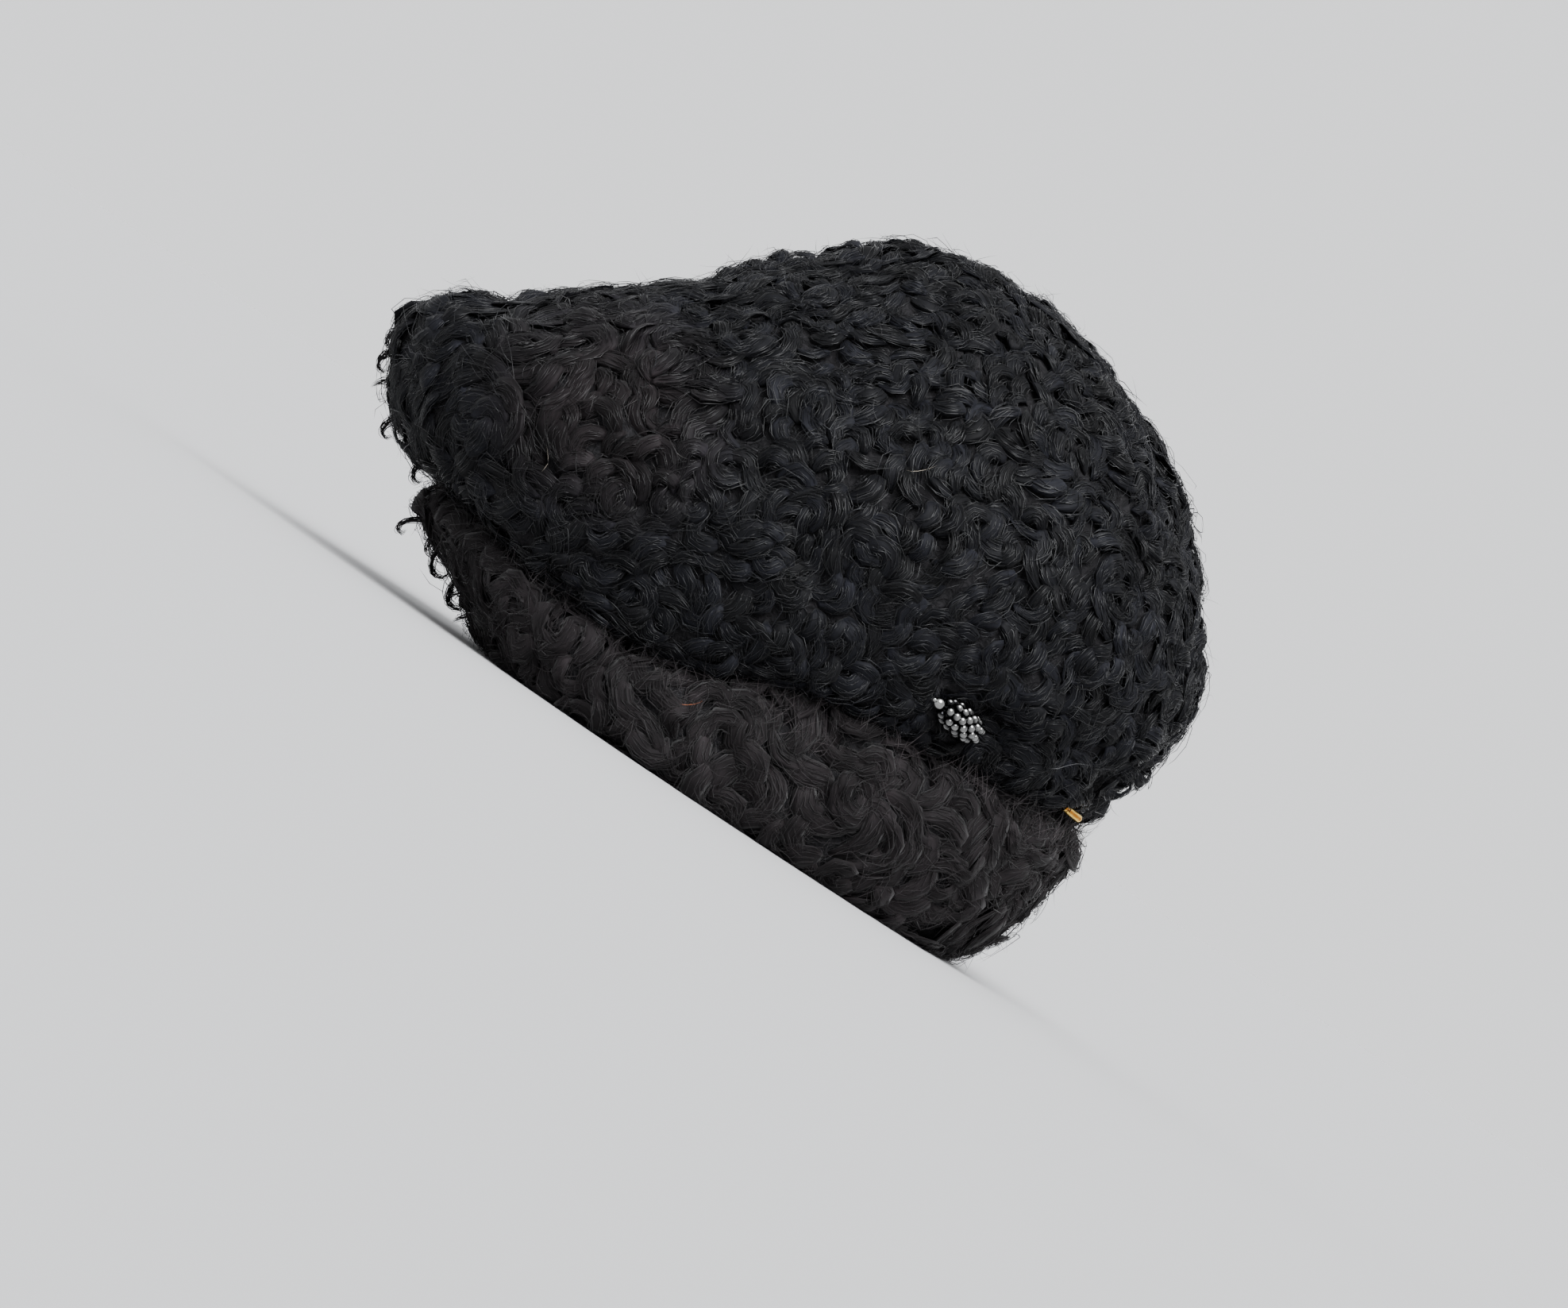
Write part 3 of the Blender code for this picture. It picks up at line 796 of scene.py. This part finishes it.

# ---- Cuff: the fringe --------------------------------------------------------------------------
# The cuff's free upper edge ends in a soft fringe of short fine wool that leans on the crown. It is
# painted much lighter than the other wool: partly its own paler brown, partly painted light that
# lifts the shade in the valley between cuff and crown.
FRINGE = 3100
FRINGE_LENGTH, FRINGE_LENGTHS = 10.5 * MM, (0.5, 1.3)
FRINGE_HALF, FRINGE_HALVES = 0.12 * MM, (0.6, 1.3)
# Partly the fringe's own paler brown, and partly painted light that lifts the shade of the valley
# between cuff and crown.
FRINGE_DYE_AND_PAINTED_LIGHT = (0.013, 0.0112, 0.0118), (0.0165, 0.0153, 0.017), (0.026, 0.0208, 0.0215)
FRINGE_FADE = 0.6
FRINGE_LEAN, FRINGE_SIDEWAYS = (0.1, 0.8), 0.55
FRINGE_BEND, FRINGE_WAVER = 0.3, 0.25
EDGE_FACES_UP = 0.25
fringe_hair = wool_look("fringe_hair", *FRINGE_DYE_AND_PAINTED_LIGHT, roughness=0.5, gloss=0.12, sheen=0.05)
edge_faces = [
    index
    for index, corners in enumerate(cuff_wool.corners)
    if sum((cuff_wool.outs[c] for c in corners), Vector()).normalized().z > EDGE_FACES_UP
]
edge_areas = cuff_wool.areas[edge_faces] / cuff_wool.areas[edge_faces].sum()
fringe, fringe_outs = [], []
for pick in random.choice(edge_faces, FRINGE, p=edge_areas):
    corners = cuff_wool.corners[pick]
    mix = random.dirichlet((1,) * len(corners))
    place = blended(cuff_wool.points, corners, mix)
    out = blended(cuff_wool.outs, corners, mix).normalized()
    inward = (HAT_MIDDLE - place) * Vector((1, 1, 0))
    inward.normalize()
    lean = (Vector((0, 0, 1)) - inward * random.uniform(*FRINGE_LEAN)).normalized()
    side = lean.cross(inward).normalized() * random.normal(0, FRINGE_SIDEWAYS)
    bend = inward * FRINGE_BEND + Vector(random.normal(0, FRINGE_WAVER, 3))
    length = FRINGE_LENGTH * random.uniform(*FRINGE_LENGTHS)
    steps = np.linspace(0, 1, HAIR_STATIONS)
    fringe.append([place + (lean + side) * length * t + bend * length * t * t for t in steps])
    fringe_outs.append([out] * HAIR_STATIONS)
half = FRINGE_HALF * random.uniform(*FRINGE_HALVES, FRINGE)
rings, share = hairs_along(np.array(fringe), np.array(fringe_outs), half, np.zeros(FRINGE), 0)
shade = random.uniform(0, 1, (FRINGE, 1, 1))
hair_piece("cuff_fringe", fringe_hair, rings, share, shade, FRINGE_FADE)

# ---- Wisps at the front ------------------------------------------------------------------------
# Wisps of fine wool stand out in hooks and open rings from the front of the brow and of the cuff.
# Each starts in the wool at its left and up, and its places are forward and up from there.
Wisp = namedtuple("Wisp", "left up places")
HOOK = ((-4, 1), (1, 0), (5.8, -2.5), (8.8, -5.4), (8.6, -8), (6.6, -8.6), (6.2, -6.6))
RING = (
    (-4, 2), (1, 1), (4.4, -1.6), (3.6, -6.4), (1.2, -9), (-2.4, -8.6), (-3.4, -5.6), (-1.4, -3.4),
)
CURL_IN = ((-4, 0), (1, -0.5), (3.4, -3), (3.2, -6.4), (0.6, -7.6), (-0.8, -5.6))
LICK = ((-4, 1), (0, 0), (3, -2.5), (5, -6))
WISPS = [
    Wisp(9, 27, HOOK), Wisp(4, 22, RING), Wisp(-6, 50, CURL_IN), Wisp(3, 76, CURL_IN),
    Wisp(-12, 25, CURL_IN), Wisp(1, 14, LICK), Wisp(7, 9, LICK), Wisp(14, 36, LICK),
    Wisp(-3, 60, LICK), Wisp(0, 88, LICK), Wisp(8, 43, CURL_IN), Wisp(16, 68, CURL_IN),
    Wisp(-14, 84, LICK), Wisp(-9, 16, RING), Wisp(5, 97, LICK),
]
WISP_STRANDS = 20
WISP_STATIONS = 12
WISP_SPREAD, WISP_GATHER = 0.6 * MM, 1.5
WISP_WAVE, WISP_WAVES = 0.4 * WISP_SPREAD, (4, 9)
WISP_HALF = 0.18 * MM
WISP_FADE = 0.4
SHORT_OF_END = 1.001
VIEW_START = 300


def along_places(places, stations):
    """A smooth line through the places, as (stations, 3)."""
    knots = np.array(places, float)
    knots = np.concatenate([2 * knots[:1] - knots[1:2], knots, 2 * knots[-1:] - knots[-2:-1]])
    at = np.linspace(0, len(places) - SHORT_OF_END, stations)
    low = at.astype(int)
    t = (at - low)[:, None]
    a, b, c, d = (knots[low + k] for k in range(4))
    square, cube = 2 * a - 5 * b + 4 * c - d, 3 * b - a - 3 * c + d
    return 0.5 * (2 * b + (c - a) * t + square * t**2 + cube * t**3)


def wool_seen(start, way):
    """The first wool on this line of sight: its kind and its place."""
    hits = [(wool, wool.tree.ray_cast(start, way)) for wool in (crown_wool, cuff_wool)]
    seen = [(hit[3], wool, hit[0]) for wool, hit in hits if hit[0]]
    _, wool, place = min(seen, key=lambda found: found[0])
    return wool, place


wisp_lines = []
for wisp in WISPS:
    before = Vector((wisp.left, -VIEW_START, wisp.up)) * MM
    front = wool_seen(before, Vector((0, 1, 0)))[1].y / MM
    places = [(wisp.left, front - forward, wisp.up + up) for forward, up in wisp.places]
    line = along_places(places, WISP_STATIONS) * MM
    share = np.linspace(0, 1, WISP_STATIONS)[:, None]
    for _ in range(WISP_STRANDS):
        apart = random.normal(0, WISP_SPREAD, 3) * (WISP_GATHER - share)
        wave = random.normal(0, WISP_WAVE, 3) * np.sin(share * random.uniform(*WISP_WAVES))
        wisp_lines.append(line + apart + wave)
wisp_lines = np.array(wisp_lines)
wisp_outs = np.broadcast_to(np.array((1.0, 0, 0)), wisp_lines.shape)
count = len(wisp_lines)
half = np.full(count, WISP_HALF)
rings, share = hairs_along(wisp_lines, wisp_outs, half, np.zeros(count), 0)
off_floor(rings)
shade = random.uniform(0, 1, (count, 1, 1))
hair_piece("front_wisps", soft_hair, rings, share, shade, WISP_FADE)

# ---- Undyed hairs ------------------------------------------------------------------------------
# A few single hairs that lost their dye, or never took it, lie across the curls of the left side:
# cream, grey or reddish. Places are seen from that side, in millimetres and degrees.
Stray = namedtuple("Stray", "along up length turn heading pale")
STRAYS = [
    Stray(21, 127, 10, 40, 15, 0.0),
    Stray(-77, 62, 10, 40, 70, 0.15),
    Stray(115, 57, 17, 15, 95, 0.5),
    Stray(111.5, 74, 22, -15, 15, 0.5),
    Stray(2, 23, 8, 30, 20, 1.0),
    Stray(-46, 92, 8, 50, -40, 0.45),
]
STRAY_HALF = 0.08 * MM
STRAY_RISE = 2.0 * MM
STRAY_LIFT = 3.4 * MM
CREAM, GREY, REDDISH = (0.30, 0.26, 0.21), (0.055, 0.055, 0.058), (0.28, 0.08, 0.03)


def undyed_look():
    """Bare wool hair: cream, grey, or reddish where old dye is left in it."""
    made, nodes, links, shader = new_material("undyed_hair")
    colour = add_ramp(nodes, links, add_field(nodes, "shade"), CREAM, REDDISH, start=0.0, end=1.0)
    between = colour.node.color_ramp.elements.new(0.5)
    between.color = (*GREY, 1)
    links.new(colour, shader.inputs["Base Color"])
    shader.inputs["Roughness"].default_value = 0.4
    return made


points, outs = [], []
for stray in STRAYS:
    before = Vector((VIEW_START, stray.along, stray.up)) * MM
    wool, place = wool_seen(before, Vector((-1, 0, 0)))
    slope = math.radians(stray.heading)
    heading = Vector((0, math.cos(slope), math.sin(slope)))
    turn = math.radians(stray.turn)
    line, line_outs = line_on_wool(wool, place, heading, stray.length * MM, turn, HAIR_STATIONS)
    points.append(line)
    outs.append(line_outs)
half, rise = np.full(len(STRAYS), STRAY_HALF), np.full(len(STRAYS), STRAY_RISE)
rings, share = hairs_along(np.array(points), np.array(outs), half, rise, STRAY_LIFT)
pale = np.array([stray.pale for stray in STRAYS])[:, None, None]
hair_piece("undyed_hairs", undyed_look(), rings, share, pale, 0.0)

# ---- Hat pin -----------------------------------------------------------------------------------
# The pin's head is cast silver balls soldered in staggered rings round an oval core, with one
# larger ball and a small cap ball in front. Its steel shank runs through the fur.
BIG_BALL, CAP_BALL, SMALL_BALL = 2.15 * MM, 0.8 * MM, 1.6 * MM
CAP_PLACE = -2.8 * MM
BUNCH_START, BUNCH_PITCH, BUNCH_ROWS = 4.2 * MM, 2.8 * MM, 8
BUNCH_RADIUS = 4.35 * MM
BALL_GAP = 3.35 * MM
BALL_POLISH = 0.4
OVAL_TAPER = 0.38
CORE_RADIUS, CORE_STEPS = 3.7 * MM, 12
SHANK_RADIUS, SHANK_POINT = 0.5 * MM, 2 * MM
PIN_LENGTH = (CLUTCH_MIDDLE - PIN_HEAD).length + 2.5 * MM
SPUN_WELD = 0.5 * CAD_WELD
SILVER = (0.01, 0.01, 0.011), (0.23, 0.23, 0.225)
SMEAR_SHINE, SMEAR_ROUGHNESS = 0.35, 0.1


def spun(bm, profile, sides):
    """A closed solid spun about Z from (radius, height) pairs."""
    line = [bm.verts.new((radius, 0, height)) for radius, height in profile]
    edges = [bm.edges.new(pair) for pair in zip(line, line[1:])]
    bmesh.ops.spin(
        bm,
        geom=line + edges,
        axis=(0, 0, 1),
        cent=(0, 0, 0),
        steps=sides,
        angle=2 * math.pi,
        use_merge=True,
    )
    bmesh.ops.remove_doubles(bm, verts=bm.verts, dist=SPUN_WELD)


def ball(bm, place, radius, outward=None):
    """A cast ball. In the bunch its polish runs from none, where it faces in, to full."""
    made = bmesh.ops.create_uvsphere(
        bm, u_segments=18, v_segments=12, radius=radius, matrix=Matrix.Translation(place)
    )
    polish_and_painted_reflection = bm.verts.layers.float["polish_and_painted_reflection"]
    for vert in made["verts"]:
        facing = (vert.co - Vector(place)).dot(outward or Vector()) / radius
        vert[polish_and_painted_reflection] = BALL_POLISH + BALL_POLISH * facing if outward else 1


def on_pin_line(bm, name, node, look):
    """Turns a shape that runs along +Z into the pin's line and makes it a piece."""
    turned = PIN_LINE.to_track_quat("Z", "Y").to_matrix().to_4x4()
    bmesh.ops.recalc_face_normals(bm, faces=bm.faces)
    bmesh.ops.transform(bm, matrix=Matrix.Translation(PIN_HEAD) @ turned, verts=bm.verts)
    mesh = bpy.data.meshes.new(name)
    bm.to_mesh(mesh)
    bm.free()
    mesh.shade_smooth()
    mesh.materials.append(look)
    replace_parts(new_object(name, mesh), node)


def metal_look(name, dull, bright, roughness):
    """Polished metal, dulled where its polish is low and smeared a little all over. On the gilt the
    polish value also carries painted reflections and a painted highlight.
    """
    made, nodes, links, shader = new_material(name)
    place = nodes.new("ShaderNodeTexCoord").outputs["Object"]
    smear = add_noise(nodes, links, place, scale=700, detail=4)
    shine = nodes.new("ShaderNodeMath")
    shine.operation = "MULTIPLY_ADD"
    shine.inputs[1].default_value = SMEAR_SHINE
    links.new(smear, shine.inputs[0])
    links.new(add_field(nodes, "polish_and_painted_reflection"), shine.inputs[2])
    colour = add_ramp(nodes, links, shine.outputs[0], dull, bright, start=0.6, end=1.15)
    links.new(colour, shader.inputs["Base Color"])
    shader.inputs["Metallic"].default_value = 1
    rough = add_range(nodes, links, smear, roughness, roughness + SMEAR_ROUGHNESS)
    links.new(rough, shader.inputs["Roughness"])
    return made


pin_bm = bmesh.new()
pin_bm.verts.layers.float.new("polish_and_painted_reflection")
core_start = BUNCH_START - SMALL_BALL
core_end = BUNCH_START + (BUNCH_ROWS - 1) * BUNCH_PITCH + SMALL_BALL
core = []
for step in range(CORE_STEPS + 1):
    bulge = max(0.0, math.sin(math.pi * step / CORE_STEPS)) ** OVAL_TAPER
    height = core_start + (core_end - core_start) * step / CORE_STEPS
    core.append((CORE_RADIUS * bulge, height))
spun(pin_bm, core, sides=24)
neck = [(0, 0), (CAP_BALL, 0), (CAP_BALL, BUNCH_START), (0, BUNCH_START)]
spun(pin_bm, neck, sides=16)
shank_end = PIN_LENGTH - SHANK_POINT
shank = [(0, BUNCH_START), (SHANK_RADIUS, BUNCH_START), (SHANK_RADIUS, shank_end), (0, PIN_LENGTH)]
spun(pin_bm, shank, sides=12)
ball(pin_bm, (0, 0, CAP_PLACE), CAP_BALL)
ball(pin_bm, (0, 0, 0), BIG_BALL)
for row in range(BUNCH_ROWS):
    radius = BUNCH_RADIUS * math.sin(math.pi * (row + 0.5) / BUNCH_ROWS) ** OVAL_TAPER
    balls = round(2 * math.pi * radius / BALL_GAP)
    for column in range(balls):
        angle = 2 * math.pi * (column + row % 2 / 2) / balls
        arm = Vector((math.cos(angle), math.sin(angle), 0))
        place = arm * radius + Vector((0, 0, BUNCH_START + row * BUNCH_PITCH))
        ball(pin_bm, place, SMALL_BALL, arm)
silver = metal_look("tarnished_silver", *SILVER, roughness=0.04)
on_pin_line(pin_bm, "ball_pin", "hat_pin", silver)

# ---- Pin clutch --------------------------------------------------------------------------------
# A short gilt tube, closed and rounded at its far end, with a flared mouth and a waist behind it.
# It is pushed on the pin's point. Its gilt is painted in three orange and gold bands round its
# sides, painted reflections along the polished tube, and full bright gold at its rounded end, a
# painted highlight.
TUBE_LENGTH = 11
TUBE_PROFILE = (
    (0, 8.5), (0.85, 8.5), (0.85, 0), (1.5, 0), (1.5, 0.7), (1.2, 1.1), (1.2, 1.7), (1.45, 2.1),
    (1.45, 9.6), (1.3, 10.3), (0.9, 10.8), (0, TUBE_LENGTH),
)
TUBE_END = 9.8
# Three painted reflection bands round the tube, and how far the polish value swings across them.
REFLECTION_BANDS = 3
BAND_POLISH, BAND_RANGE = 0.72, 0.34
GILT = (0.36, 0.13, 0.012), (0.86, 0.58, 0.14)
tube_start = (CLUTCH_MIDDLE - PIN_HEAD).length - TUBE_LENGTH / 2 * MM
clutch_bm = bmesh.new()
polish_and_painted_reflection = clutch_bm.verts.layers.float.new("polish_and_painted_reflection")
tube = [(radius * MM, tube_start + height * MM) for radius, height in TUBE_PROFILE]
spun(clutch_bm, tube, sides=28)
# Painted reflections and highlight: three orange and gold bands round the sides, and full bright
# gold at the rounded end.
for vert in clutch_bm.verts:
    band_shine = math.cos(REFLECTION_BANDS * math.atan2(vert.co.y, vert.co.x))
    at_end = vert.co.z > tube_start + TUBE_END * MM
    vert[polish_and_painted_reflection] = 1 if at_end else BAND_POLISH + BAND_RANGE * band_shine
gilt = metal_look("gilt_painted_reflections", *GILT, roughness=0.16)
on_pin_line(clutch_bm, "gilt_clutch", "pin_clutch", gilt)

# ---- Stage: pale floor, soft light and the camera ----------------------------------------------
# The camera looks at the hat's left side, level and from above the floor, and is rolled so that
# the hat has the photo's tilt in the picture.
PICTURE_TILT = math.radians(33.7)
PICTURE_MIDDLE = Vector((0, 21, 56.3)) * MM
PICTURE_WIDTH = 533.3 * MM
CAMERA_REACH, CAMERA_END = 2.5, 200
SENSOR = 36
FLOOR_SIZE = 60
FLOOR_GREY = (0.316, 0.316, 0.319, 1)

floor_bm = bmesh.new()
bmesh.ops.create_grid(floor_bm, x_segments=1, y_segments=1, size=FLOOR_SIZE)
floor_mesh = bpy.data.meshes.new("floor")
floor_bm.to_mesh(floor_mesh)
floor_bm.free()
floor = bpy.data.objects.new("floor", floor_mesh)
bpy.context.scene.collection.objects.link(floor)
floor_look, _, _, floor_shader = new_material("pale_floor")
floor_shader.inputs["Base Color"].default_value = FLOOR_GREY
floor_shader.inputs["Roughness"].default_value = 0.8
floor_mesh.materials.append(floor_look)

# The room's own light is even and pale, with one broad soft lamp high up on the camera's side. The
# floor comes out as pale as the wall behind it, so that no edge shows between them.
LAMP_WAY = Vector((0.66, 0.12, 0.74)).normalized()
LAMP_EDGE = (0.86, 0.985)
WALL_LIGHT, LAMP_LIGHT = 1.4, 27.0
LIGHT_COLOUR = (0.97, 0.98, 1.0, 1)
world = bpy.data.worlds.new("pale_room")
world.use_nodes = True
nodes, links = world.node_tree.nodes, world.node_tree.links
way = nodes.new("ShaderNodeTexCoord").outputs["Generated"]
near_lamp = nodes.new("ShaderNodeVectorMath")
near_lamp.operation = "DOT_PRODUCT"
near_lamp.inputs[1].default_value = LAMP_WAY
links.new(way, near_lamp.inputs[0])
glow = add_range(nodes, links, near_lamp.outputs["Value"], WALL_LIGHT, LAMP_LIGHT)
glow.node.interpolation_type = "SMOOTHSTEP"
glow.node.inputs["From Min"].default_value, glow.node.inputs["From Max"].default_value = LAMP_EDGE
background = nodes["Background"]
background.inputs["Color"].default_value = LIGHT_COLOUR
links.new(glow, background.inputs["Strength"])
bpy.context.scene.world = world

camera_data = bpy.data.cameras.new("camera")
camera_data.sensor_width = SENSOR
camera_data.lens = SENSOR * CAMERA_REACH / PICTURE_WIDTH
camera_data.clip_end = CAMERA_END
camera = bpy.data.objects.new("camera", camera_data)
right = Vector((0, math.cos(PICTURE_TILT), math.sin(PICTURE_TILT)))
above = Vector((0, -math.sin(PICTURE_TILT), math.cos(PICTURE_TILT)))
toward = Vector((1, 0, 0))
turned = Matrix((right, above, toward)).transposed().to_4x4()
camera.matrix_world = Matrix.Translation(PICTURE_MIDDLE + toward * CAMERA_REACH) @ turned
bpy.context.scene.collection.objects.link(camera)
bpy.context.scene.camera = camera
